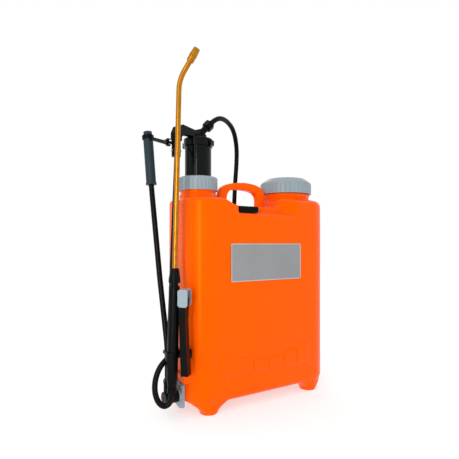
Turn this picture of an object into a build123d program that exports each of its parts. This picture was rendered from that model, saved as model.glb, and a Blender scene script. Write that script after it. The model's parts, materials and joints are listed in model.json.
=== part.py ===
"""Knapsack sprayer with a side lever pump, a filler lid, a hose, a spray gun with a lance, and shoulder straps.

Millimetres, +Z up, the printed face towards -Y and the wearer's back towards +Y. Every place below is measured
from the middle of the tank, on the floor; the last step moves the whole sprayer so that its origin is the middle
of its own footprint.
"""

from build123d import *
import os
from math import cos, radians, sin, tan

# Tank
TANK_W, TANK_D, TANK_R = 384.0, 156.0, 50.0
TANK_BASE, FACE_TOP, SHOULDER, VALLEY, RIGHT_TOP = 23.0, 431.0, 460.0, 447.0, 472.0
DECK_HALF = 54.0
WALL = 3.0
FOOT_X, FOOT_Y, FOOT_R_TOP, FOOT_R = 142.0, 54.0, 23.4, 19.5
HANDLE_HALF = 9.0
SLOT_X, SLOT_W, SLOT_Z, SLOT_H = -52.0, 46.0, 439.0, 9.0

# Pump, on the left neck
PUMP_X, PUMP_NECK_R, NECK_TOP = -139.0, 40.0, 500.0
COLLAR_R, COLLAR_Z0, COLLAR_Z1 = 44.0, 479.5, 510.0
BORE_R, CYLINDER_R, CYLINDER_FOOT = 31.0, 33.5, 150.0
CHAMBER_R, CHAMBER_WALL, CHAMBER_FOOT, CHAMBER_TOP = 29.8, 2.6, 262.0, 579.0
RING_R, RING_TOP = 32.6, 597.0
THREAD_GAP = 0.3

# Filler, on the right neck
FILL_X, FILL_NECK_R, FILL_BORE_R = 116.0, 56.0, 50.0
LID_R, LID_Z0, LID_TOP = 65.3, 487.0, 526.5

# Pump lever, crank and connecting rod
PIVOT_Y, PIVOT_Z, CRANK_R, LEVER_SWING = -28.0, 40.0, 34.0, 68.0
LEVER_X, LEVER_R = -226.0, 6.0
CRANK_X0, CRANK_X1, EYE_X0, EYE_X1 = -210.5, -204.5, -216.0, -211.0
SHAFT_R, PIN_R, ROD_R, RUN_GAP = 7.0, 4.0, 4.25, 0.05
SOCKET_X, SOCKET_Y, SOCKET_Z0, SOCKET_Z1, SOCKET_R = -211.5, -39.0, 543.0, 580.0, 9.5
OUTLET, OUTLET_WAY, HOSE_START = Vector(-133, 0, 611), Vector(1, 0, 1).normalized(), 36.0

# Spray gun and lance, built upright and then leant into their clip
WAND_FOOT = (-233.3, -64.1, 37.0)
WAND_LEAN = (7.0, -16.3, 568.3)
GUN_R, GUN_JOINT, GUN_TOP, TAIL_FOOT = 11.0, 52.0, 240.0, 30.0
NUT_Z0, NUT_Z1 = 247.0, 276.0
LANCE_R, LANCE_BORE, BEND_Z, BEND_ANGLE, TIP_RUN = 5.2, 3.9, 649.0, 31.0, 49.0
NOZZLE_LENGTH = 27.0
TRIGGER_PIVOT = (-19.0, 212.0)
TRIGGER_HALF = 10.0
HOSE_R = 5.75

SHAFT_TILT = 90.0

parts = {}


def cylinder(radius, low, high, x=0.0, y=0.0):
    """Upright round bar between two heights."""
    return Pos(x, y, (low + high) / 2) * Cylinder(radius, high - low)


def ring(outer, inner, low, high, x=0.0, y=0.0):
    """Upright ring between two heights."""
    return cylinder(outer, low, high, x, y) - cylinder(inner, low - 1, high + 1, x, y)


def cone(low_r, high_r, low, high, x=0.0, y=0.0):
    """Upright taper between two heights."""
    return Pos(x, y, (low + high) / 2) * Cone(low_r, high_r, high - low)


def block(x0, x1, y0, y1, z0, z1):
    """Box between two corners."""
    return Pos((x0 + x1) / 2, (y0 + y1) / 2, (z0 + z1) / 2) * Box(x1 - x0, y1 - y0, z1 - z0)


def across(radius, x0, x1, y, z):
    """Round bar along X."""
    return Pos((x0 + x1) / 2, y, z) * Rot(0, SHAFT_TILT, 0) * Cylinder(radius, x1 - x0)


def side_plate(sketch, x0, x1):
    """A sketch drawn in Y and Z, made into a plate from x0 to x1."""
    return extrude(Plane(origin=(x0, 0, 0), x_dir=(0, 1, 0), z_dir=(1, 0, 0)) * sketch, x1 - x0)


def front_plate(sketch, y_back, thickness):
    """A sketch drawn in X and Z, made into a plate that grows towards -Y from y_back."""
    return extrude(Plane(origin=(0, y_back, 0), x_dir=(1, 0, 0), z_dir=(0, -1, 0)) * sketch, thickness)


def polygon(points):
    """Closed outline with straight sides."""
    return make_face(Polyline(*points, close=True))


def round_rod(points, radius, radii):
    """Round rod along straight runs that tangent arcs join."""
    path = FilletPolyline(*points, radius=radii)
    section = Plane(origin=path @ 0, z_dir=path % 0) * Circle(radius)
    return sweep(section, path=path)


def arc_radii(points):
    """The largest even arc that each corner of a free hose has room for."""
    spots = [Vector(*p) for p in points]
    radii = []
    for before, here, after in zip(spots, spots[1:], spots[2:]):
        turn = (here - before).get_angle(after - here)
        shorter = min((here - before).length, (after - here).length)
        radii.append(0.45 * shorter / tan(radians(turn / 2)))
    return radii


# ---------------------------------------------------------------- tank


def prism(width, depth, radius, low, high):
    """Upright block with round corners."""
    return Pos(0, 0, low) * extrude(RectangleRounded(width, depth, radius), high - low)


def handle():
    """Carrying handle: an arch between the two necks."""
    with BuildLine() as outer:
        Spline((-88, 430), (-88.5, 476), (-76, 496.5), (-59, 502.8), (-25, 507.5), (8, 506), (30, 499),
               (41.5, 488), (44.5, 472), (45, 430))
        Line((45, 430), (-88, 430))
    with BuildLine() as inner:
        Spline((-67, 420), (-66, 472), (-59, 486), (-46, 489.6), (-14, 489.5), (9, 485), (17, 478), (20, 466),
               (20, 420))
        Line((20, 420), (-67, 420))
    arch = make_face(outer.line) - make_face(inner.line)
    return front_plate(arch, HANDLE_HALF, 2 * HANDLE_HALF)


def relief_panel(x0, x1):
    """One raised panel of the moulded band low on the front. Its top edge dips towards the middle."""
    def top(x):
        return 101.0 + 24.0 * (abs(x) / 122.0) ** 1.4

    outline = polygon([(x0, 79), (x1, 79), (x1, top(x1)), ((x0 + x1) / 2, top((x0 + x1) / 2)), (x0, top(x0))])
    return front_plate(outline, -TANK_D / 2 + 1, 2.2)


def tank_outside():
    body = prism(TANK_W, TANK_D, TANK_R, TANK_BASE, FACE_TOP)
    body = fillet(body.edges().group_by(Axis.Z)[0], 12)
    body = fillet(body.edges().group_by(Axis.Z)[-1], 9)
    left = front_plate(
        polygon([(-200, 380), (-200, SHOULDER), (-114, SHOULDER), (-88, VALLEY), (-79, VALLEY), (-79, 380)]),
        TANK_D, 2 * TANK_D,
    )
    left = left & prism(TANK_W, TANK_D, TANK_R, 380, SHOULDER)
    left = fillet(left.edges().group_by(Axis.Z)[-1], 6)
    deck_outline = polygon(
        [(-120, 380), (-120, VALLEY), (44, VALLEY), (62, RIGHT_TOP), (160, RIGHT_TOP), (184, 463), (192, 448),
         (192, 380)]
    )
    deck = front_plate(deck_outline, DECK_HALF, 2 * DECK_HALF) & prism(TANK_W, 2 * DECK_HALF, 40, 380, RIGHT_TOP)
    shape = body + left + deck + handle()
    shape += cylinder(42.5, 400, 470, PUMP_X) + cylinder(PUMP_NECK_R, 460, NECK_TOP, PUMP_X)
    shape += cylinder(64, 398, 466, FILL_X) + cone(54, 61.5, 466, 483.5, FILL_X)
    shape += cylinder(61.5, 483.5, 486, FILL_X) + cylinder(FILL_NECK_R, 480, NECK_TOP, FILL_X)
    return shape


def make_tank():
    shape = tank_outside()
    for x in (-FOOT_X, FOOT_X):
        for y in (-FOOT_Y, FOOT_Y):
            shape += cone(FOOT_R, FOOT_R_TOP, 0, TANK_BASE + 12, x, y)
    for x0, x1 in ((-122, -84), (-81, -44), (-41, -2), (2, 41), (44, 81), (84, 122)):
        shape += relief_panel(x0, x1)
    cavity = prism(TANK_W - 2 * WALL, TANK_D - 2 * WALL, TANK_R - WALL, TANK_BASE + WALL, FACE_TOP - WALL - 3)
    cavity = fillet(cavity.edges().group_by(Axis.Z)[0], 9)
    cavity += cylinder(PUMP_NECK_R - 5.5, FACE_TOP - 30, NECK_TOP + 1, PUMP_X)
    cavity += cylinder(FILL_BORE_R, FACE_TOP - 30, NECK_TOP + 1, FILL_X)
    shape -= cavity
    ledge = block(-203.5, -180, -60, 14, 72, 89)
    parts["gun_ledge"] = ledge - prism(TANK_W, TANK_D, TANK_R, 60, 100)
    slot = block(-SLOT_W / 2, SLOT_W / 2, -TANK_D, TANK_D, -SLOT_H / 2, SLOT_H / 2)
    shape -= Pos(SLOT_X, 0, SLOT_Z) * slot
    parts["tank"] = shape


def make_label():
    plate = front_plate(Pos(-2, 320.5) * RectangleRounded(197, 83, 4), -TANK_D / 2, 1.4)
    parts["label_plate"] = plate


# ---------------------------------------------------------------- pump


def make_collar():
    nut = cylinder(COLLAR_R, COLLAR_Z0, COLLAR_Z1, PUMP_X)
    nut = fillet(nut.edges().sort_by(Axis.Z)[-1], 4)
    nut -= cylinder(PUMP_NECK_R + THREAD_GAP, COLLAR_Z0 - 1, COLLAR_Z1 - 4, PUMP_X)
    nut -= cylinder(CHAMBER_R + 1.2, COLLAR_Z0, COLLAR_Z1 + 1, PUMP_X)
    for k in range(30):
        groove = Pos(COLLAR_R, 0, (COLLAR_Z0 + COLLAR_Z1) / 2 - 2) * Cylinder(0.9, COLLAR_Z1 - COLLAR_Z0 - 10)
        nut -= Pos(PUMP_X, 0, 0) * Rot(0, 0, 12 * k) * groove
    parts["pump_collar"] = nut
    parts["collar_gasket"] = ring(39.6, 34.2, NECK_TOP + 2.5, COLLAR_Z1 - 4, PUMP_X)


def make_cylinder():
    tube = ring(CYLINDER_R, BORE_R, CYLINDER_FOOT, NECK_TOP + 2.5, PUMP_X)
    flange = ring(39.6, BORE_R, NECK_TOP, NECK_TOP + 2.5, PUMP_X)
    parts["pump_cylinder"] = tube + flange
    seat = cylinder(CYLINDER_R, CYLINDER_FOOT - 5, CYLINDER_FOOT, PUMP_X)
    seat += cylinder(BORE_R - 0.3, CYLINDER_FOOT, CYLINDER_FOOT + 6, PUMP_X)
    seat += ring(13, 9, CYLINDER_FOOT + 6, CYLINDER_FOOT + 22, PUMP_X)
    seat -= cylinder(9, CYLINDER_FOOT, CYLINDER_FOOT + 23, PUMP_X)
    seat -= cylinder(5, CYLINDER_FOOT - 6, CYLINDER_FOOT + 1, PUMP_X)
    parts["intake_valve_seat"] = seat
    parts["intake_ball"] = Pos(PUMP_X, 0, CYLINDER_FOOT + 5.7) * Sphere(7.5)
    strainer = ring(26, 24.5, CYLINDER_FOOT - 30, CYLINDER_FOOT - 5, PUMP_X)
    strainer += cylinder(26, CYLINDER_FOOT - 31.5, CYLINDER_FOOT - 30, PUMP_X)
    for k in range(12):
        window = block(22, 28, -2, 2, CYLINDER_FOOT - 27, CYLINDER_FOOT - 10)
        strainer -= Pos(PUMP_X, 0, 0) * Rot(0, 0, 30 * k) * window
    parts["intake_strainer"] = strainer


def make_chamber():
    wall = ring(CHAMBER_R, CHAMBER_R - CHAMBER_WALL, CHAMBER_FOOT, CHAMBER_TOP, PUMP_X)
    wall += ring(CHAMBER_R, 8, CHAMBER_FOOT, CHAMBER_FOOT + 4, PUMP_X)
    parts["air_chamber"] = wall
    cap = cylinder(RING_R, CHAMBER_TOP, RING_TOP, PUMP_X)
    cap = fillet(cap.edges().sort_by(Axis.Z)[-1], 2.5)
    for turn in (-60, 30, 120, 210):
        cap += Pos(PUMP_X, 0, 0) * Rot(0, 0, turn) * block(28, 37.5, -7, 7, CHAMBER_TOP, RING_TOP - 6)
    cap -= cylinder(5, CHAMBER_TOP - 1, RING_TOP + 1, PUMP_X)
    parts["chamber_cap"] = cap
    parts["cap_seal"] = ring(26.9, 23, CHAMBER_TOP - 4, CHAMBER_TOP, PUMP_X)
    parts["dip_tube"] = ring(5, 3.5, CHAMBER_FOOT + 20, CHAMBER_TOP, PUMP_X)
    piston = ring(27.5, 5.5, CHAMBER_FOOT - 24, CHAMBER_FOOT, PUMP_X)
    piston -= ring(40, 22, CHAMBER_FOOT - 16, CHAMBER_FOOT - 8, PUMP_X)
    piston += ring(8, 5.5, CHAMBER_FOOT - 1, CHAMBER_FOOT, PUMP_X)
    parts["piston"] = piston
    parts["piston_cup"] = ring(BORE_R - 0.08, 22, CHAMBER_FOOT - 16, CHAMBER_FOOT - 8, PUMP_X)
    parts["outlet_ball"] = Pos(PUMP_X, 0, CHAMBER_FOOT + 5.05) * Sphere(7.4)
    cage = ring(11, 7.8, CHAMBER_FOOT + 4, CHAMBER_FOOT + 16, PUMP_X)
    parts["ball_cage"] = cage + ring(11, 5.4, CHAMBER_FOOT + 16, CHAMBER_FOOT + 18, PUMP_X)


def make_arm():
    """The arm that carries the chamber: over the cap, out to the side and down into the socket."""
    reach = Vector(SOCKET_X - PUMP_X, SOCKET_Y, 0)
    side = reach.length
    heading = reach.normalized()
    plane = Plane(origin=(PUMP_X, 0, 0), x_dir=heading, z_dir=heading.cross(Vector(0, 0, 1)))
    outline = polygon([
        (-19, RING_TOP), (34, RING_TOP), (side - 20, 594), (side - 10, 586), (side - 10, SOCKET_Z1 - 3),
        (side + 8, SOCKET_Z1 - 3), (side + 8, 592), (side, 606), (side - 14, 613), (22, 612), (4, 619), (-19, 619),
    ])
    half = 8.0
    arm = extrude(plane.offset(-half) * outline, 2 * half)
    arm += cylinder(SOCKET_R, SOCKET_Z0, SOCKET_Z1, SOCKET_X, SOCKET_Y)
    arm += cylinder(19, RING_TOP, RING_TOP + 9, PUMP_X)
    arm -= cylinder(5, RING_TOP - 1, RING_TOP + 15, PUMP_X)
    arm -= cylinder(ROD_R, SOCKET_Z0 - 1, SOCKET_Z0 + 26, SOCKET_X, SOCKET_Y)
    pin_z = SOCKET_Z0 + 13
    arm -= across(2.5, SOCKET_X - 20, SOCKET_X + 20, SOCKET_Y, pin_z)
    parts["rod_pin"] = across(2.5, SOCKET_X - SOCKET_R - 2, SOCKET_X + SOCKET_R + 2, SOCKET_Y, pin_z)
    stud = across(3.0, SOCKET_X - SOCKET_R - 13, SOCKET_X - SOCKET_R + 2, SOCKET_Y, 571)
    stud += across(5.5, SOCKET_X - SOCKET_R - 15, SOCKET_X - SOCKET_R - 13, SOCKET_Y, 571)
    parts["pump_arm"] = arm + stud


def make_elbow():
    """Outlet: a bend of pipe on the arm, up and over to the right, with its hose nut."""
    elbow = Plane(origin=OUTLET, z_dir=OUTLET_WAY) * Pos(0, 0, 10) * Cylinder(7.5, 22)
    parts["outlet_elbow"] = (elbow - parts["pump_arm"]).solids().sort_by(SortBy.VOLUME)[-1]
    nut_plane = Plane(origin=OUTLET + OUTLET_WAY * 21, z_dir=OUTLET_WAY)
    nut = nut_plane * extrude(RegularPolygon(10.5, 6, major_radius=False), HOSE_START - 21)
    parts["pump_hose_nut"] = nut


def make_rod():
    crank_z = PIVOT_Z + CRANK_R * sin(radians(LEVER_SWING / 2))
    eye_y = PIVOT_Y + CRANK_R * (1 + cos(radians(LEVER_SWING / 2))) / 2
    middle = (EYE_X0 + EYE_X1) / 2
    eye = side_plate(
        Pos(eye_y, crank_z) * (SlotOverall(30, 19) - SlotOverall(16.5, 9.4)), EYE_X0, EYE_X1)
    low, high = Vector(middle, eye_y, crank_z + 9), Vector(SOCKET_X, SOCKET_Y, SOCKET_Z0 + 1)
    run = (high - low).length
    shank = Plane(origin=low, z_dir=high - low) * Pos(0, 0, run / 2) * Cylinder(ROD_R - 0.25, run)
    shank += cylinder(ROD_R - 0.05, SOCKET_Z0, SOCKET_Z0 + 24, SOCKET_X, SOCKET_Y)
    shank -= across(2.5, SOCKET_X - 20, SOCKET_X + 20, SOCKET_Y, SOCKET_Z0 + 13)
    shank -= block(-230, EYE_X0, -60, 60, 0, 75) + block(EYE_X1, -190, -60, 60, 0, 75)
    parts["connecting_rod"] = shank + eye


# ---------------------------------------------------------------- filler


def make_filler():
    side = cylinder(LID_R, LID_Z0, LID_TOP - 12, FILL_X)
    dome = cone(LID_R, LID_R - 17, LID_TOP - 12, LID_TOP, FILL_X)
    lid = side + dome
    lid = fillet(lid.edges().filter_by(GeomType.CIRCLE).sort_by(Axis.Z)[-2:], 7)
    lid -= cylinder(FILL_NECK_R + THREAD_GAP, LID_Z0 - 1, NECK_TOP + 3.6, FILL_X)
    lid -= cylinder(LID_R - 14, NECK_TOP, LID_TOP - 5, FILL_X)
    for k in range(36):
        groove = Pos(LID_R + 0.4, 0, (LID_Z0 + LID_TOP - 14) / 2) * Cylinder(1.4, LID_TOP - 18 - LID_Z0)
        lid -= Pos(FILL_X, 0, 0) * Rot(0, 0, 10 * k) * groove
    lid -= cylinder(2.5, LID_TOP - 8, LID_TOP + 1, FILL_X)
    parts["filler_lid"] = lid
    parts["lid_gasket"] = ring(55.8, 49.7, NECK_TOP + 1.6, NECK_TOP + 3.5, FILL_X)
    vent = cylinder(2.45, LID_TOP - 6, LID_TOP - 1.5, FILL_X) + cylinder(7, LID_TOP - 7, LID_TOP - 5, FILL_X)
    parts["lid_vent_valve"] = vent
    basket = ring(48, 46.4, 412, NECK_TOP, FILL_X) + cylinder(48, 410, 412, FILL_X)
    basket += ring(55.8, 46.4, NECK_TOP, NECK_TOP + 1.5, FILL_X)
    for k in range(24):
        basket -= Pos(FILL_X, 0, 0) * Rot(0, 0, 15 * k) * block(45, 50, -2.2, 2.2, 418, 478)
    parts["filler_strainer"] = basket


# ---------------------------------------------------------------- lever


def make_lever():
    outline = polygon([(-40, 15), (-24, 12), (30, 25), (38, 37), (30, 50), (-2, 66), (-40, 66)])
    bracket = side_plate(outline, -198, -192)
    bracket = fillet(bracket.edges().filter_by(Axis.X), 6)
    bracket += across(12, -203.9, -198, PIVOT_Y, PIVOT_Z)
    bracket -= across(SHAFT_R + RUN_GAP, -206, -190, PIVOT_Y, PIVOT_Z)
    screw_spots = ((-32.5, 59), (-6, 22.5), (28, 37))
    screws = Part()
    for y, z in screw_spots:
        bracket -= across(2.5, -199, -191, y, z)
        screws += across(2.5, -198, -192, y, z) + across(4.5, -200.5, -198, y, z)
    parts["lever_bracket"] = bracket
    parts["bracket_screws"] = screws
    shaft = across(SHAFT_R, -229, -192.2, PIVOT_Y, PIVOT_Z)
    parts["lever_shaft"] = shaft
    crank_z = PIVOT_Z + CRANK_R * sin(radians(LEVER_SWING / 2))
    crank_y = PIVOT_Y + CRANK_R * cos(radians(LEVER_SWING / 2))
    arm = side_plate(
        Pos((PIVOT_Y + crank_y) / 2, (PIVOT_Z + crank_z) / 2) * Rot(0, 0, LEVER_SWING / 2) * SlotOverall(CRANK_R + 18, 18),
        CRANK_X0, CRANK_X1)
    hub = across(13, -235, CRANK_X1, PIVOT_Y, PIVOT_Z) + arm
    hub += cylinder(8.2, PIVOT_Z, PIVOT_Z + 34, LEVER_X, PIVOT_Y)
    hub -= across(SHAFT_R, -229, -190, PIVOT_Y, PIVOT_Z)
    hub -= cylinder(LEVER_R, PIVOT_Z + 14, PIVOT_Z + 40, LEVER_X, PIVOT_Y)
    hub -= across(PIN_R, CRANK_X0 - 2, CRANK_X1 + 2, crank_y, crank_z)
    parts["lever_hub"] = hub
    pin = across(PIN_R, EYE_X0 - 1, CRANK_X1, crank_y, crank_z) + across(7.2, EYE_X0 - 3, EYE_X0 - 1, crank_y, crank_z)
    parts["crank_pin"] = pin
    route = [(LEVER_X, PIVOT_Y, PIVOT_Z + 14), (LEVER_X, PIVOT_Y, 142), (-228, 8, 286), (-233, 42.7, 483),
             (-237.4, 53.5, 602)]
    bends = [220, 400, 400]
    lever = round_rod(route, LEVER_R, bends)
    foot, top = Vector(-233.25, 44.0, 493), Vector(-237.8, 54.5, 612)
    line = top - foot
    grip_plane = Plane(origin=foot, z_dir=line)
    grip = extrude(grip_plane * Circle(10.9), line.length * 0.94) + extrude(grip_plane * Circle(12.0), 4)
    grip += extrude(grip_plane.offset(line.length * 0.94) * Circle(9.5), line.length * 0.06)
    core = Plane(origin=foot, z_dir=line)
    parts["lever_grip"] = grip - lever
    parts["lever_tube"] = lever - round_rod(route, LEVER_R - 1.5, bends)
    return core, line


def make_stay(core, line):
    """Parking stay: a ring round the grip, an arm, and a hook over the stud on the pump arm, open towards -Y."""
    at = line.length * 0.86
    band = extrude(core.offset(at) * (Circle(13.2) - Circle(10.95)), 8)
    ring_spot = core.origin + line.normalized() * (at + 4)
    hook = Vector(SOCKET_X - SOCKET_R - 8, SOCKET_Y, 571)
    start = ring_spot + (hook - ring_spot).normalized() * 12
    end = hook + Vector(0, 6.2, 0)
    reach = end - start
    bar = Plane(origin=start, x_dir=Vector(0, 0, 1), z_dir=reach) * extrude(RectangleRounded(8, 4, 1.5), reach.length)
    claw = side_plate(Pos(SOCKET_Y, 571) * (Circle(8.2) - Circle(5.2)), hook.X - 3, hook.X + 3)
    claw -= block(-240, -200, SOCKET_Y - 12, SOCKET_Y, 571 - 5.2, 571 + 5.2)
    tail_way = (ring_spot - hook).normalized()
    tail = Plane(origin=ring_spot + tail_way * 12, x_dir=Vector(0, 0, 1), z_dir=tail_way)
    tail = tail * extrude(RectangleRounded(8, 4, 1.5), 11)
    parts["parking_stay"] = band + bar + claw + tail - extrude(core * Circle(10.95), line.length)


# ---------------------------------------------------------------- spray gun and lance


def wand_plane():
    lean = Vector(*WAND_LEAN).normalized()
    across_way = Vector(1, 1, 0).normalized()
    return Plane(origin=WAND_FOOT, x_dir=across_way, z_dir=lean)


def make_wand():
    frame = wand_plane()
    pieces = {}
    body = cylinder(GUN_R, GUN_JOINT, GUN_TOP) + cone(8.6, 10.4, TAIL_FOOT + 6, GUN_JOINT)
    body += cylinder(8.0, GUN_TOP, NUT_Z0)
    ear = block(-4.9, 4.9, -24, -4, TRIGGER_PIVOT[1] - 6, TRIGGER_PIVOT[1] + 6)
    body += ear
    body -= cylinder(7.0, GUN_JOINT + 6, GUN_TOP - 30)
    body += cylinder(5.85, TAIL_FOOT - 4, TAIL_FOOT + 7)
    body -= cylinder(4.0, TAIL_FOOT - 5, NUT_Z0 + 1)
    pivot_bar = Pos(0, TRIGGER_PIVOT[0], TRIGGER_PIVOT[1]) * Rot(0, SHAFT_TILT, 0)
    body -= pivot_bar * Cylinder(2.5 + RUN_GAP, 40)
    body -= Pos(0, -9, 196) * Rot(SHAFT_TILT, 0, 0) * Cylinder(2.5 + RUN_GAP, 12)
    pieces["gun_body"] = body
    pieces["trigger_pin"] = pivot_bar * Cylinder(2.5, 2 * TRIGGER_HALF + 1)
    pieces["gun_filter"] = ring(6.6, 5.4, GUN_JOINT + 8, GUN_JOINT + 60)
    pieces["gun_hose_nut"] = ring(9.6, 5.9, TAIL_FOOT - 4, TAIL_FOOT + 6)

    blade = Plane.YZ * polygon([
        (-12, TRIGGER_PIVOT[1] + 8), (-29, TRIGGER_PIVOT[1] + 6), (-27.8, 171), (-31, 122), (-36.5, 66),
        (-21.5, 63), (-16, 150),
    ])
    trigger = extrude(blade, TRIGGER_HALF, both=True)
    trigger -= extrude(Plane.YZ * polygon([
        (-8, TRIGGER_PIVOT[1] + 20), (-25.5, TRIGGER_PIVOT[1] + 20), (-24.8, 171), (-27.5, 122), (-33, 60), (-8, 50),
    ]), TRIGGER_HALF - 2.5, both=True)
    trigger += block(-TRIGGER_HALF, TRIGGER_HALF, -36, -22.5, 64, 67)
    trigger -= pivot_bar * Cylinder(2.5, 60)
    pieces["trigger_lever"] = trigger

    stem = Pos(0, -16, 196) * Rot(SHAFT_TILT, 0, 0) * Cylinder(2.5, 16)
    pieces["valve_stem"] = stem
    pieces["valve_seal"] = Pos(0, -5.0, 196) * Rot(SHAFT_TILT, 0, 0) * (Cylinder(3.7, 1.6) - Cylinder(2.6, 3))
    pieces["valve_spring"] = Pos(0, -15.6, 196) * Rot(SHAFT_TILT, 0, 0) * (Cylinder(4.4, 7.6) - Cylinder(3.2, 9))

    lock = extrude(Plane.YZ * Pos(-22, 218) * RectangleRounded(20, 35, 5.5), 13.2, both=True)
    lock -= block(-10.6, 10.6, -60, 0, 180, 233)
    lock += block(10.7, 13.2, -14, -11.6, 222, 233) + block(-13.2, -10.7, -14, -11.6, 222, 233)
    pieces["trigger_lock"] = lock

    nut = cone(11.8, 8.2, NUT_Z0 + 8, NUT_Z1) + cylinder(11.8, NUT_Z0 + 0.3, NUT_Z0 + 8)
    for k in range(16):
        nut -= Rot(0, 0, 22.5 * k) * Pos(12.2, 0, NUT_Z0 + 4) * Cylinder(1.1, 16)
    nut -= cylinder(LANCE_R + RUN_GAP, NUT_Z0 - 1, NUT_Z1 + 1)
    pieces["lance_nut"] = nut

    bend = BEND_ANGLE
    tip = (0, -TIP_RUN * sin(radians(bend)), BEND_Z + TIP_RUN * cos(radians(bend)))
    route = [(0, 0, NUT_Z0 + 0.3), (0, 0, BEND_Z), tip]
    pieces["lance_tube"] = round_rod(route, LANCE_R, [70]) - round_rod(route, LANCE_BORE, [70])
    nose = Plane(origin=tip, x_dir=(1, 0, 0), z_dir=(0, -sin(radians(bend)), cos(radians(bend))))
    pieces["nozzle_body"] = nose.location * (
        cylinder(7.4, -9, 3) + cylinder(4.6, 3, 12) - cylinder(LANCE_R, -9, 0) - cylinder(2.2, -1, 13))
    pieces["nozzle_swirl"] = nose.location * (cylinder(4.5, 12.1, 15.5) - block(-0.8, 0.8, -5, 5, 12, 14))
    cap = cone(7.9, 6.4, 3.2, 20)
    cap -= cylinder(4.65, 3, 15.7) + cylinder(0.7, 15, 20)
    pieces["nozzle_cap"] = nose.location * cap
    for name, piece in pieces.items():
        parts[name] = frame.location * piece
    return frame


def make_gun_clip(frame):
    """Arm on the side of the tank that ends in a spring clip round the gun."""
    height = 100.0
    claw = ring(14.2, GUN_R + 0.3, height - 9, height + 9) - block(-20, 20, -20, -6.5, height - 10, height + 10)
    claw = frame.location * claw
    spot = frame.location * Pos(0, 0, height)
    centre = spot.position
    base = block(-195.5, -192, centre.Y - 6, centre.Y + 34, centre.Z - 9, centre.Z + 9)
    foot = Vector(-194, centre.Y + 21, centre.Z)
    near = centre + (foot - centre).normalized() * 12.4
    arm = Plane(origin=near, x_dir=(0, 0, 1), z_dir=foot - near) * extrude(Rectangle(16, 5), (foot - near).length)
    parts["gun_clip"] = claw + arm + base - frame.location * cylinder(GUN_R + 0.3, 0, 300)


# ---------------------------------------------------------------- hose


HOSE_UPPER = [
    (-76, 8, 658), (-46, 26, 660), (-12, 48, 648), (12, 70, 611), (21, 86, 566), (22, 94.6, 518), (20.4, 95.4, 470),
]
HOSE_LOWER = [
    (20.4, 95.4, 470), (18.8, 96.2, 422), (17, 98.8, 372), (15, 99.5, 318), (10, 99, 264), (2, 97, 214), (-12, 95, 168),
    (-40, 94, 130), (-82, 93, 106), (-128, 93, 100), (-170, 85, 104), (-197, 58, 113), (-201.8, 24, 122),
    (-201.8, -6, 129), (-207, -28, 132), (-222, -42, 132), (-240, -48, 125), (-255, -50, 110), (-264, -52, 88),
    (-265, -54, 64), (-258, -57, 44), (-246, -60.5, 35),
]


def make_hose(frame):
    tail = frame.location * Pos(0, 0, TAIL_FOOT - 4)
    down = frame.z_dir
    end = tail.position
    lower = HOSE_LOWER + [tuple(end - down * 18), tuple(end)]
    start = OUTLET + OUTLET_WAY * HOSE_START
    upper = [tuple(start), tuple(start + OUTLET_WAY * 15)] + HOSE_UPPER
    for name, route in (("hose_upper", upper), ("hose_lower", lower)):
        parts[name] = round_rod(route, HOSE_R, arc_radii(route))


# ---------------------------------------------------------------- straps


def make_straps():
    bar = block(SLOT_X - 25, SLOT_X + 25, -77, -62, 431.2, 445)
    parts["strap_bar"] = fillet(bar.edges().filter_by(Axis.X), 4)
    half = SLOT_W / 2 - 2
    yoke = block(SLOT_X - half, SLOT_X + half, -61.9, 84, SLOT_Z - 1.5, SLOT_Z + 1.5)
    yoke += block(SLOT_X - half - 14, SLOT_X + half + 60, 81, 84, 404, SLOT_Z + 1.5)
    parts["strap_yoke"] = yoke
    for side, x_top, x_low, x_hook in (("left", -66, -92, -128), ("right", -8, 66, 128)):
        y = TANK_D / 2 + 1
        outline = polygon([(x_top - 22, 404), (x_top + 22, 404), (x_low + 26, 190), (x_low - 26, 190)])
        pad = front_plate(outline, y + 12, 12)
        parts["strap_pad_" + side] = fillet(pad.edges().filter_by(Axis.Y), 8)
        strip = polygon([(x_low - 15, 190), (x_low + 15, 190), (x_hook + 15, 62), (x_hook - 15, 62)])
        web = front_plate(strip, y + 3, 2.5)
        parts["strap_web_" + side] = web
    hooks = Part()
    buckles = Part()
    for x, x_low in ((-128, -92), (128, 66)):
        hooks += block(x - 19, x + 19, TANK_D / 2, TANK_D / 2 + 6, 44, 61.9)
        middle = (x + x_low) / 2
        buckles += block(middle - 22, middle + 22, TANK_D / 2 + 4.1, TANK_D / 2 + 8, 112, 142)
    parts["strap_hooks"] = hooks
    parts["strap_buckles"] = buckles


def footprint_shift():
    """How far the sprayer, without its hose, has to move for its origin to be the middle of its footprint."""
    boxes = [shape.bounding_box() for name, shape in parts.items() if not name.startswith("hose_")]
    x = (min(b.min.X for b in boxes) + max(b.max.X for b in boxes)) / 2
    y = (min(b.min.Y for b in boxes) + max(b.max.Y for b in boxes)) / 2
    return Pos(-x, -y, 0)


make_tank()
make_label()
make_collar()
make_cylinder()
make_chamber()
make_arm()
make_elbow()
make_rod()
make_filler()
make_stay(*make_lever())
wand = make_wand()
make_gun_clip(wand)
make_hose(wand)
make_straps()

shift = footprint_shift()
print("shift", shift.position, "wand", wand.origin, wand.x_dir, wand.z_dir)
os.makedirs("parts", exist_ok=True)
for name, shape in parts.items():
    export_step(shift * shape, os.path.join("parts", name + ".step"))
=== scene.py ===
"""Knapsack sprayer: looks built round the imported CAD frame, in metres."""

import json
import math

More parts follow.
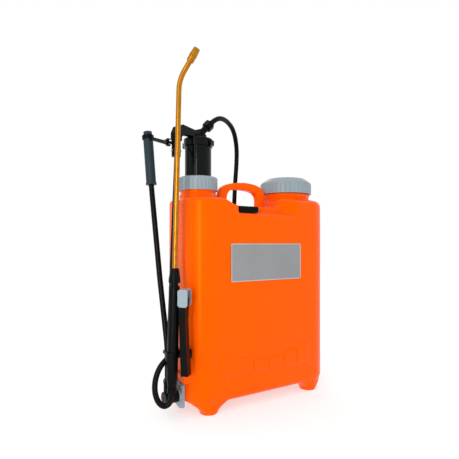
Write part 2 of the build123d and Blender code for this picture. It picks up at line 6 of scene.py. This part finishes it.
import bmesh
import bpy
import numpy as np
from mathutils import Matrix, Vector


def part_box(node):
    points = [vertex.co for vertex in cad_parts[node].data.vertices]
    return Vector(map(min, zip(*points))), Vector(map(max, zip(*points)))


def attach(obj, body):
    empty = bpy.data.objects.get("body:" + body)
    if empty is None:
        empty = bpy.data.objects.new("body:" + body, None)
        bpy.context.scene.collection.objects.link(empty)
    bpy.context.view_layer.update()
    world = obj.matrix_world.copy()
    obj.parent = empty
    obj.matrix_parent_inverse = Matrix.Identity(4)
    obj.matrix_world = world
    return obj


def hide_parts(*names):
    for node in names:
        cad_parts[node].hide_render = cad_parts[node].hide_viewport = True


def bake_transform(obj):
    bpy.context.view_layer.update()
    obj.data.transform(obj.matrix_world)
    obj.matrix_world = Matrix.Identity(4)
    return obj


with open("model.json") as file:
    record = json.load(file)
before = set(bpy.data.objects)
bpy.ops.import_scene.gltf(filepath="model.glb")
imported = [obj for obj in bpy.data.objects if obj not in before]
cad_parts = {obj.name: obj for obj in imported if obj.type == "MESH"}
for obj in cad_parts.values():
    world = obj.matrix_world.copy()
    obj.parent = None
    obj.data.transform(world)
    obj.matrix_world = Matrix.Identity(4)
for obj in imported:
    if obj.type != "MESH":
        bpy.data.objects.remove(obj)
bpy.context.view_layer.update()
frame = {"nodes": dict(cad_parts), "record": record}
nodes = frame["nodes"]
scene = bpy.context.scene

MM = 0.001
PUMP_NECK_X, FILL_NECK_X = -139, 116
# From the tank-centred drawing to the row frame, read back from the filler lid, which sits on its neck.
lid_low, lid_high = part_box("filler_lid")
label_low, label_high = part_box("label_plate")
SHIFT = Vector(((lid_low.x + lid_high.x) / 2 - FILL_NECK_X * MM, (lid_low.y + lid_high.y) / 2, 0))


def at(x, y, z):
    """A point of the tank-centred drawing, in millimetres, as a point of the row frame."""
    return Vector((x * MM, y * MM, z * MM)) + SHIFT


# ---------------------------------------------------------------- materials


class Mix:
    """A node material under construction."""

    def __init__(self, name):
        self.mat = bpy.data.materials.new(name)
        self.mat.use_nodes = True
        self.tree = self.mat.node_tree
        self.bsdf = self.tree.nodes["Principled BSDF"]
        self.coords = self.node("ShaderNodeTexCoord").outputs["Object"]

    def node(self, kind, **values):
        made = self.tree.nodes.new(kind)
        for key, value in values.items():
            setattr(made, key, value)
        return made

    def link(self, a, b):
        self.tree.links.new(a, b)

    def noise(self, scale, detail=3.0, stretch=None):
        made = self.node("ShaderNodeTexNoise")
        made.inputs["Scale"].default_value = scale
        made.inputs["Detail"].default_value = detail
        source = self.coords
        if stretch:
            mapping = self.node("ShaderNodeMapping")
            mapping.inputs["Scale"].default_value = stretch
            self.link(source, mapping.inputs["Vector"])
            source = mapping.outputs["Vector"]
        self.link(source, made.inputs["Vector"])
        return made.outputs["Fac"]

    def ramp(self, source, stops):
        made = self.node("ShaderNodeValToRGB")
        elements = made.color_ramp.elements
        while len(elements) < len(stops):
            elements.new(0.5)
        for element, (place, colour) in zip(elements, stops):
            element.position = place
            element.color = (*colour, 1)
        self.link(source, made.inputs["Fac"])
        return made.outputs["Color"]

    def span(self, source, low, high, from_low=0.3, from_high=0.7):
        made = self.node("ShaderNodeMapRange")
        ends = {"From Min": from_low, "From Max": from_high, "To Min": low, "To Max": high}
        for key, value in ends.items():
            made.inputs[key].default_value = value
        self.link(source, made.inputs["Value"])
        return made.outputs["Result"]

    def bump(self, source, strength, distance, before=None):
        made = self.node("ShaderNodeBump")
        made.inputs["Strength"].default_value = strength
        made.inputs["Distance"].default_value = distance
        self.link(source, made.inputs["Height"])
        if before:
            self.link(before, made.inputs["Normal"])
        return made.outputs["Normal"]

    def put(self, socket, value):
        if hasattr(value, "is_linked"):
            self.link(value, self.bsdf.inputs[socket])
        else:
            self.bsdf.inputs[socket].default_value = value
        return self


def shade(colour, factor):
    return tuple(min(1.0, c * factor) for c in colour)


def plastic(name, colour, rough, coarse=14.0, vary=0.08, grain=900.0, grain_height=0.00004, shine=0.3,
            waves=0.0002, edge=None, tint=None, spread=0.055):
    """Moulded plastic: slow colour drift, pale scuffs, fine surface grain and uneven gloss."""
    m = Mix(name)
    drift = m.ramp(m.noise(coarse, 4), [(0.3, shade(colour, 1 - vary)), (0.7, shade(colour, 1 + vary))])
    scuffed = m.node("ShaderNodeMix", data_type="RGBA")
    m.link(m.span(m.noise(260, 6, (1, 1, 0.25)), 0.0, 0.5, 0.62, 0.78), scuffed.inputs["Factor"])
    m.link(drift, scuffed.inputs["A"])
    scuffed.inputs["B"].default_value = (*(edge or shade(colour, 1.6)), 1)
    m.put("Base Color", scuffed.outputs["Result"])
    m.put("Roughness", m.span(m.noise(60, 5), rough - spread, rough + spread))
    grain_bump = m.bump(m.noise(grain, 2), 0.25, grain_height)
    m.put("Normal", m.bump(m.noise(22, 2), 0.2, waves, grain_bump))
    m.put("Specular IOR Level", shine)
    if tint:
        m.put("Specular Tint", (*tint, 1))
    return m.mat


def metal(name, colour, rough, stretch=(1, 1, 0.04), scale=1400.0, tarnish=None):
    """Drawn or turned metal with fine lines and a little tarnish."""
    m = Mix(name)
    lines = m.noise(scale, 3, stretch)
    dark = tarnish or shade(colour, 0.72)
    m.put("Base Color", m.ramp(m.noise(70, 6), [(0.35, dark), (0.62, colour)]))
    m.put("Roughness", m.span(lines, rough - 0.03, rough + 0.05))
    m.put("Metallic", 1.0)
    m.put("Normal", m.bump(lines, 0.12, 0.00002))
    return m.mat


def rubber(name, colour, rough, specular):
    """Matt rubber with faint colour drift and a fine grain."""
    m = Mix(name)
    m.put("Base Color", m.ramp(m.noise(40, 5), [(0.3, shade(colour, 0.8)), (0.72, shade(colour, 1.3))]))
    m.put("Roughness", m.span(m.noise(120, 4), rough - 0.06, rough + 0.1))
    m.put("Specular IOR Level", specular)
    m.put("Normal", m.bump(m.noise(1500, 2), 0.3, 0.00004))
    return m.mat


def woven(name, colour, pitch, height):
    """Plain weave from two crossed sets of threads, with slubs and fuzz."""
    m = Mix(name)
    waves = []
    for axis in ("X", "Z"):
        wave = m.node("ShaderNodeTexWave", bands_direction=axis, wave_profile="SIN")
        wave.inputs["Scale"].default_value = 1 / pitch
        wave.inputs["Distortion"].default_value = 0.6
        wave.inputs["Detail Scale"].default_value = 2.0
        m.link(m.coords, wave.inputs["Vector"])
        waves.append(wave.outputs["Fac"])
    both = m.node("ShaderNodeMath", operation="MULTIPLY")
    m.link(waves[0], both.inputs[0])
    m.link(waves[1], both.inputs[1])
    m.put("Base Color", m.ramp(both.outputs[0], [(0.0, shade(colour, 0.45)), (0.8, shade(colour, 1.5))]))
    m.put("Roughness", m.span(m.noise(90, 4), 0.72, 0.92))
    m.put("Sheen Weight", 0.35)
    m.put("Normal", m.bump(both.outputs[0], 0.6, height))
    return m.mat


def label_material():
    """Satin plate with a fine brushed grain. Its paler rim is a piece of its own."""
    m = Mix("label_print")
    grain = m.noise(900, 2, (0.05, 1, 1))
    m.put("Base Color", m.ramp(m.noise(24, 4), [(0.3, (0.215, 0.22, 0.225)), (0.7, (0.235, 0.24, 0.245))]))
    m.put("Roughness", m.span(grain, 0.42, 0.55))
    m.put("Normal", m.bump(grain, 0.2, 0.00004))
    return m.mat


ORANGE = (0.90, 0.088, 0.0003)
BLACK = (0.0014, 0.0018, 0.002)
MATERIALS = {
    "tank_plastic": plastic("orange_polyethylene", ORANGE, 0.27, vary=0.03, grain=420.0, grain_height=0.00002,
                            shine=0.3, waves=0.00006, spread=0.02, edge=(0.95, 0.105, 0.0006),
                            tint=(1.0, 0.60, 0.03)),
    "grey_plastic": plastic("light_grey_plastic", (0.245, 0.30, 0.335), 0.34, vary=0.04, shine=0.3),
    "black_plastic": plastic("black_nylon", BLACK, 0.32, shine=0.08, edge=(0.008, 0.008, 0.009)),
    "grip_plastic": plastic("dark_grip_plastic", (0.016, 0.030, 0.036), 0.42, shine=0.15,
                            edge=(0.03, 0.045, 0.05)),
    "white_plastic": plastic("natural_polypropylene", (0.72, 0.72, 0.68), 0.4, vary=0.03),
    "rubber_seal": rubber("seal_rubber", (0.006, 0.006, 0.006), 0.55, 0.1),
    "hose_rubber": rubber("hose_cover", (0.0018, 0.002, 0.0022), 0.36, 0.09),
    "lance_brass": metal("lance_brass", (0.46, 0.19, 0.014), 0.25, scale=900.0, tarnish=(0.40, 0.155, 0.011)),
    "steel": metal("zinc_steel", (0.60, 0.61, 0.62), 0.3),
    "black_steel": plastic("black_paint", BLACK, 0.26, shine=0.1, waves=0.00005, edge=(0.006, 0.006, 0.007)),
    "label": label_material(),
    "rim": plastic("label_rim", (0.46, 0.47, 0.48), 0.4, vary=0.03),
    "webbing": woven("webbing_weave", (0.016, 0.016, 0.018), 0.0022, 0.0003),
    "pad_fabric": woven("pad_weave", (0.02, 0.02, 0.023), 0.0016, 0.0002),
}
CHAMBER = plastic("chamber_gloss", (0.0012, 0.0018, 0.002), 0.15, shine=0.13, waves=0.00005,
                  edge=(0.004, 0.004, 0.005), grain_height=0.00001)
SLOT_OF = {row["node"]: row["material_slot"] for row in frame["record"]["subparts"]}
SPECIAL = {"air_chamber": CHAMBER, "chamber_cap": CHAMBER}
BODY_OF = {node: body for body, members in frame["record"]["behaviour"]["bodies"].items() for node in members}


def dress(obj, material):
    obj.data.materials.clear()
    obj.data.materials.append(material)


for name, node in nodes.items():
    dress(node, SPECIAL.get(name, MATERIALS[SLOT_OF[name]]))


# ---------------------------------------------------------------- shared mesh tools


WELD = 0.01 * MM


def new_object(name, mesh, smooth=True):
    obj = bpy.data.objects.new(name, mesh)
    scene.collection.objects.link(obj)
    if smooth:
        mesh.shade_smooth()
    return obj


def apply_all(obj):
    """Bakes the modifiers into the mesh."""
    graph = bpy.context.evaluated_depsgraph_get()
    mesh = bpy.data.meshes.new_from_object(obj.evaluated_get(graph))
    obj.modifiers.clear()
    old = obj.data
    obj.data = mesh
    bpy.data.meshes.remove(old)
    return obj


def coordinates(mesh):
    flat = np.empty(len(mesh.vertices) * 3)
    mesh.vertices.foreach_get("co", flat)
    return flat.reshape(-1, 3)


def set_coordinates(mesh, spots):
    mesh.vertices.foreach_set("co", spots.astype(np.float32).ravel())
    mesh.update()


def stands_for(obj, node):
    """A piece takes over from a CAD node: its body and its place."""
    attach(obj, BODY_OF[node])
    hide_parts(node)
    return obj


def welded(bm):
    """Joins the CAD mesh's split corners, so that it encloses a volume."""
    bmesh.ops.remove_doubles(bm, verts=bm.verts, dist=WELD)
    bmesh.ops.recalc_face_normals(bm, faces=bm.faces)


def bridge(bm, low, high):
    """Faces between two rings of the same number of points."""
    for k in range(len(low)):
        t = (k + 1) % len(low)
        bm.faces.new((low[k], low[t], high[t], high[k]))


def closed_stack(bm, rings):
    """Faces between each ring and the next, with the first and last ring closed."""
    for low, high in zip(rings, rings[1:]):
        bridge(bm, low, high)
    bm.faces.new(list(reversed(rings[0])))
    bm.faces.new(rings[-1])


def full_turn(count):
    return [2 * math.pi * k / count for k in range(count)]


def remeshed(node, name, voxel, smooth):
    """A copy of a CAD node with its hard joins run together, as moulding or stitching leaves them."""
    obj = new_object(name, nodes[node].data.copy())
    bm = bmesh.new()
    bm.from_mesh(obj.data)
    welded(bm)
    bm.to_mesh(obj.data)
    bm.free()
    modifier = obj.modifiers.new("voxels", "REMESH")
    modifier.mode = "VOXEL"
    modifier.voxel_size = voxel
    modifier.use_smooth_shade = True
    if smooth:
        relax = obj.modifiers.new("relax", "SMOOTH")
        relax.factor = 0.5
        relax.iterations = smooth
    return apply_all(obj)


# ---------------------------------------------------------------- tank


TANK_HALF = (192 * MM, 78 * MM)
TANK_CORNER = 50 * MM
TANK_VOXEL = 1.8 * MM
FOOT_X, FOOT_Y = 142, 54
RELIEF_FOOT, RELIEF_HEIGHT = 79, 1.8 * MM
RELIEF_PANELS = ((-122, -84), (-81, -44), (-41, -2), (2, 41), (44, 81), (84, 122))


def inside_plan(x, y, inset):
    """A plan point in tank axes, pulled back inside the tank's rounded rectangle."""
    radius = TANK_CORNER - inset
    core = Vector((TANK_HALF[0] - TANK_CORNER, TANK_HALF[1] - TANK_CORNER))
    near = Vector((max(-core.x, min(core.x, x)), max(-core.y, min(core.y, y))))
    out = Vector((x, y)) - near
    if out.length > radius:
        out = out.normalized() * radius
    return near.x + out.x, near.y + out.y


def foot_flare(bm, x, y):
    """The flared root of one foot, which runs out into the tank's underside and corner."""
    levels = ((1.5, 19.5), (8, 22), (15, 28), (21, 37), (27, 46), (35, 48))
    margin = 3 * MM
    rings = []
    for z, radius in levels:
        ring = []
        for angle in full_turn(40):
            reach_x, reach_y = radius * MM * math.cos(angle), radius * MM * math.sin(angle)
            px, py = inside_plan(x * MM + reach_x, y * MM + reach_y, margin)
            ring.append(bm.verts.new(Vector((px, py, z * MM)) + SHIFT))
        rings.append(ring)
    closed_stack(bm, rings)


def right_shoulder(bm):
    """The right shoulder: it stands as deep as the face and rounds over at the top."""
    foot, top, fillet = 380, 470, 16
    middle, reach = 121, 120
    deck_x, deck_y, slant = 50, 52, 1.6
    levels = [(foot, 0)] + [(top - fillet * (1 - math.sin(a)), fillet * (1 - math.cos(a)))
                            for a in (math.radians(15 * k) for k in range(7))]
    rings = []
    for z, inset in levels:
        ring = []
        for angle in full_turn(96):
            x, y = middle + reach * math.cos(angle), reach * math.sin(angle)
            px, py = inside_plan(x * MM, y * MM, (0.2 + inset) * MM)
            left = deck_x + inset + slant * max(0, abs(py / MM) - deck_y)
            ring.append(bm.verts.new(Vector((max(px, left * MM), py, z * MM)) + SHIFT))
        rings.append(ring)
    closed_stack(bm, rings)


def smooth_step(value, low, high):
    """0 below low, 1 above high, and an S-curve between them."""
    t = np.clip((value - low) / (high - low), 0, 1)
    return t * t * (3 - 2 * t)


def relief(spots, normals):
    """Raises the panels of the moulded band low on the front."""
    x = (spots[:, 0] - SHIFT.x) / MM
    z = spots[:, 2] / MM
    top = 101 + 24 * (np.abs(x) / 122) ** 1.4
    depth = np.zeros(len(spots))
    for x0, x1 in RELIEF_PANELS:
        inner = np.minimum.reduce([x - x0, x1 - x, z - RELIEF_FOOT, top - z])
        panel = smooth_step(inner, -0.8, 1.0)
        depth = np.maximum(depth, panel)
    front = (normals[:, 1] < -0.9) & (spots[:, 1] < SHIFT.y - TANK_HALF[1] + 4 * MM)
    spots[:, 1] -= np.where(front, depth * RELIEF_HEIGHT, 0)


def softness(spots):
    """How much each point is smoothed: the joins round the top and the feet, but not the necks or soles."""
    x, y = spots[:, 0] - SHIFT.x, spots[:, 1] - SHIFT.y
    z = spots[:, 2] / MM
    neck = np.minimum(np.hypot(spots[:, 0] - at(PUMP_NECK_X, 0, 0).x, y) / MM - 46,
                      np.hypot(spots[:, 0] - at(FILL_NECK_X, 0, 0).x, y) / MM - 66)
    high = smooth_step(z, 414, 432) * (1 - smooth_step(z, 478, 488)) * smooth_step(neck, -6, 2)
    foot = np.hypot(np.abs(x) / MM - FOOT_X, np.abs(y) / MM - FOOT_Y)
    low = (1 - smooth_step(z, 30, 40)) * (1 - smooth_step(foot, 45, 62))
    return np.maximum(high, low * smooth_step(z, 6, 14))


def make_tank():
    """The tank and the ledge under the gun as one moulding."""
    obj = new_object("tank_shell", nodes["tank"].data.copy())
    bm = bmesh.new()
    bm.from_mesh(obj.data)
    welded(bm)
    for x in (-FOOT_X, FOOT_X):
        for y in (-FOOT_Y, FOOT_Y):
            foot_flare(bm, x, y)
    right_shoulder(bm)
    bm.from_mesh(nodes["gun_ledge"].data)
    bm.to_mesh(obj.data)
    bm.free()
    voxels = obj.modifiers.new("voxels", "REMESH")
    voxels.mode = "VOXEL"
    voxels.voxel_size = TANK_VOXEL
    voxels.use_smooth_shade = True
    relax = obj.modifiers.new("relax", "SMOOTH")
    relax.factor = 0.5
    relax.iterations = 5
    apply_all(obj)
    soft = softness(coordinates(obj.data))
    group = obj.vertex_groups.new(name="soft")
    for level in (0.25, 0.5, 0.75, 1.0):
        chosen = np.flatnonzero((soft > level - 0.125) & (soft <= level + 0.125))
        group.add(chosen.tolist(), level, "REPLACE")
    settle = obj.modifiers.new("settle", "SMOOTH")
    settle.factor = 0.5
    settle.iterations = 24
    settle.vertex_group = "soft"
    apply_all(obj)
    spots = coordinates(obj.data)
    normals = np.empty(len(obj.data.vertices) * 3)
    obj.data.vertices.foreach_get("normal", normals)
    relief(spots, normals.reshape(-1, 3))
    set_coordinates(obj.data, spots)
    obj.data.shade_smooth()
    dress(obj, MATERIALS["tank_plastic"])
    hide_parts("gun_ledge")
    return stands_for(obj, "tank")


def make_label_rim():
    """Paler raised rim round the plain label plate."""
    low, high = label_low, label_high
    width, corner = 1.8 * MM, 4 * MM
    face, crest = low.y - 0.35 * MM, low.y - 0.5 * MM
    section = ((0, high.y), (0, face), (width * 0.5, crest), (width, face), (width, high.y))
    corners = ((high.x, high.z, 0), (low.x, high.z, 90), (low.x, low.z, 180), (high.x, low.z, 270))
    mesh = bpy.data.meshes.new("label_rim")
    bm = bmesh.new()
    rings = []
    for inset, y in section:
        ring = []
        radius = corner - inset
        for cx, cz, start in corners:
            sx, sz = (-1 if cx == high.x else 1), (-1 if cz == high.z else 1)
            for k in range(7):
                angle = math.radians(start + 15 * k)
                ring.append(bm.verts.new((cx + sx * corner + radius * math.cos(angle), y,
                                          cz + sz * corner + radius * math.sin(angle))))
        rings.append(ring)
    for a, b in zip(rings, rings[1:] + rings[:1]):
        bridge(bm, a, b)
    bmesh.ops.recalc_face_normals(bm, faces=bm.faces)
    bm.to_mesh(mesh)
    bm.free()
    rim = new_object("label_rim", mesh)
    dress(rim, MATERIALS["rim"])
    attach(rim, BODY_OF["label_plate"])


# ---------------------------------------------------------------- hose

HOSE_DIAMETER = 11.5 * MM
# One hose along the same points as the CAD's two hose nodes, in millimetres in tank axes.
HOSE_ROUTE = [
    (-107.5, 0, 636.5), (-96.9, 0, 647.1), (-76, 8, 658), (-46, 26, 660), (-12, 48, 648), (12, 70, 611),
    (21, 86, 566), (22, 94.6, 518), (20.4, 95.4, 470), (18.8, 96.2, 422), (17, 98.8, 372), (15, 99.5, 318),
    (10, 99, 264), (2, 97, 214), (-12, 95, 168), (-40, 94, 130), (-82, 93, 106), (-128, 93, 100),
    (-170, 85, 104), (-197, 58, 113), (-201.8, 24, 122), (-201.8, -6, 129), (-207, -28, 132),
    (-222, -42, 132), (-240, -48, 125), (-255, -50, 110), (-264, -52, 88), (-265, -54, 64),
    (-258, -57, 44), (-246, -60.5, 35), (-233.2, -64.3, 45), (-233, -64.8, 63),
]


def smooth_line(route):
    """Points read from the NURBS spline that has the route as its control points."""
    curve = bpy.data.curves.new("hose_line", "CURVE")
    curve.dimensions = "3D"
    spline = curve.splines.new("NURBS")
    spline.points.add(len(route) - 1)
    for point, spot in zip(spline.points, route):
        point.co = (*at(*spot), 1)
    spline.order_u = 3
    spline.use_endpoint_u = True
    spline.resolution_u = 10
    holder = bpy.data.objects.new("hose_line", curve)
    scene.collection.objects.link(holder)
    graph = bpy.context.evaluated_depsgraph_get()
    mesh = bpy.data.meshes.new_from_object(holder.evaluated_get(graph))
    line = [Vector(v.co) for v in mesh.vertices]
    bpy.data.objects.remove(holder)
    bpy.data.curves.remove(curve)
    bpy.data.meshes.remove(mesh)
    return line


def tube(name, line, radius, sides=24):
    """A round tube along a line, with closed ends. The section is carried along without twisting."""
    mesh = bpy.data.meshes.new(name)
    bm = bmesh.new()
    rings = []
    side = (line[1] - line[0]).orthogonal().normalized()
    for k, spot in enumerate(line):
        way = (line[min(k + 1, len(line) - 1)] - line[max(k - 1, 0)]).normalized()
        side = (side - way * side.dot(way)).normalized()
        other = way.cross(side)
        ring = [spot + (side * math.cos(a) + other * math.sin(a)) * radius for a in full_turn(sides)]
        rings.append([bm.verts.new(point) for point in ring])
    closed_stack(bm, rings)
    bm.normal_update()
    bm.to_mesh(mesh)
    bm.free()
    return new_object(name, mesh)


def make_hose():
    line = smooth_line(HOSE_ROUTE)
    hose = tube("hose", line, HOSE_DIAMETER / 2)
    dress(hose, MATERIALS["hose_rubber"])
    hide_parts("hose_upper", "hose_lower")
    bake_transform(hose)
    return hose


# ---------------------------------------------------------------- straps


PAD_SWELL, PAD_OVER, PAD_UNDER = 4 * MM, 4 * MM, 0.5 * MM
CHANNEL_WIDTH, CHANNEL_DEPTH = 3.5 * MM, 0.32


def crown(obj, node):
    """Foam pad: swells by cloth pressure in the full run, and gets three sewn channels across."""
    low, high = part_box(node)
    start = coordinates(obj.data).copy()
    cloth = obj.modifiers.new("cloth", "CLOTH")
    cloth.settings.use_pressure = True
    cloth.settings.uniform_pressure_force = 4.0
    cloth.settings.effector_weights.gravity = 0.0
    cloth.settings.quality = 5
    for step in range(1, 16):
        scene.frame_set(step)
    apply_all(obj)
    now = coordinates(obj.data)
    move = now - start
    size = np.linalg.norm(move, axis=1, keepdims=True)
    move *= np.minimum(1.0, PAD_SWELL / np.maximum(size, 1e-9))
    set_coordinates(obj.data, start + move)
    scene.frame_set(1)
    spots = coordinates(obj.data)
    middle_y = (low.y + high.y) / 2
    for share in (0.28, 0.5, 0.72):
        z = low.z + (high.z - low.z) * share
        near = np.exp(-((spots[:, 2] - z) / CHANNEL_WIDTH) ** 2)
        spots[:, 1] += (middle_y - spots[:, 1]) * CHANNEL_DEPTH * near
    spots[:, 1] = np.clip(spots[:, 1], low.y - PAD_UNDER, high.y + PAD_OVER)
    set_coordinates(obj.data, spots)


def make_pads():
    for node in ("strap_pad_left", "strap_pad_right"):
        pad = remeshed(node, node + "_soft", 0.004, 6)
        crown(pad, node)
        dress(pad, MATERIALS["pad_fabric"])
        smooth = pad.modifiers.new("smooth", "SUBSURF")
        smooth.levels = 1
        smooth.render_levels = 1
        apply_all(pad)
        pad.data.shade_smooth()
        stands_for(pad, node)


def make_webs():
    """Webbing: the CAD strips with softened edges and a woven face."""
    for node in ("strap_web_left", "strap_web_right", "strap_yoke"):
        web = remeshed(node, node + "_strip", 0.0011, 1)
        dress(web, MATERIALS["webbing"])
        stands_for(web, node)


# ---------------------------------------------------------------- valve spring


# The valve lies across the gun, along this way.
WAND_ACROSS = Vector((0.706855, -0.706725, -0.029)).normalized()
COIL_LENGTH, COIL_RADIUS, COIL_TURNS, WIRE_RADIUS = 16 * MM, 3.2 * MM, 6, 0.5 * MM


def make_spring():
    """The valve spring as a coil of wire."""
    low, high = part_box("valve_spring")
    middle = (low + high) / 2
    steps = 150
    side = WAND_ACROSS.orthogonal().normalized()
    other = WAND_ACROSS.cross(side)
    line = []
    for k in range(steps + 1):
        share = k / steps
        angle = 2 * math.pi * COIL_TURNS * share
        out = (side * math.cos(angle) + other * math.sin(angle)) * COIL_RADIUS
        line.append(middle + WAND_ACROSS * (share - 0.5) * COIL_LENGTH + out)
    spring = tube("valve_coil", line, WIRE_RADIUS, 8)
    dress(spring, MATERIALS["steel"])
    stands_for(spring, "valve_spring")


# ---------------------------------------------------------------- camera, floor, lights


FLOOR_HALF = 6.0


def make_floor():
    """A pale floor that glows a little, which halves the colour that the tank throws on it."""
    mesh = bpy.data.meshes.new("floor")
    bm = bmesh.new()
    plan = ((-1, -1), (1, -1), (1, 1), (-1, 1))
    bm.faces.new([bm.verts.new((x * FLOOR_HALF, y * FLOOR_HALF, 0)) for x, y in plan])
    bm.to_mesh(mesh)
    bm.free()
    floor = new_object("floor", mesh, smooth=False)
    m = Mix("pale_floor")
    m.put("Base Color", m.ramp(m.noise(2, 3), [(0.3, (0.44, 0.44, 0.44)), (0.7, (0.46, 0.46, 0.46))]))
    m.put("Roughness", 0.9)
    m.put("Emission Color", (1.0, 1.0, 1.0, 1))
    m.put("Emission Strength", 0.55)
    dress(floor, m.mat)


def area_light(name, spot, target, size, power, size_y=None):
    light = bpy.data.lights.new(name, "AREA")
    light.shape = "RECTANGLE"
    light.size = size
    light.size_y = size_y or size
    light.energy = power
    lamp = bpy.data.objects.new(name, light)
    scene.collection.objects.link(lamp)
    lamp.location = spot
    lamp.rotation_mode = "QUATERNION"
    lamp.rotation_quaternion = (Vector(spot) - Vector(target)).to_track_quat("Z", "Y")


def make_lights():
    """White surroundings, a narrow strip beside the tank's front corner, and three soft lights."""
    world = bpy.data.worlds.new("studio")
    world.use_nodes = True
    world.node_tree.nodes["Background"].inputs["Color"].default_value = (1.0, 1.0, 1.0, 1)
    world.node_tree.nodes["Background"].inputs["Strength"].default_value = 1.0
    scene.world = world
    scene.view_settings.view_transform = "Standard"
    corner = (-0.17, -0.07, 0.34)
    target = (0.0, 0.0, 0.3)
    area_light("strip", (-0.75, -0.66, 0.34), corner, 0.05, 3.4, 0.8)
    area_light("key", (-2.1, -1.2, 1.0), target, 0.8, 7, 1.6)
    area_light("top", (0.0, 0.1, 2.1), target, 1.2, 2)
    area_light("back", (0.6, 1.7, 1.2), target, 0.8, 3, 1.0)


def make_camera():
    """Level three-quarter view from the front left."""
    camera = bpy.data.cameras.new("camera")
    camera.lens = 32.57
    camera.sensor_width = 36.0
    camera.shift_y = 0.0314
    camera.clip_end = 50
    eye = bpy.data.objects.new("camera", camera)
    scene.collection.objects.link(eye)
    eye.location = at(-580.9, -830.2, 361.25)
    eye.rotation_euler = (math.radians(90), 0, math.radians(-32.35))
    scene.camera = eye


make_floor()
make_lights()
make_camera()
make_tank()
make_label_rim()
make_hose()
make_pads()
make_webs()
make_spring()
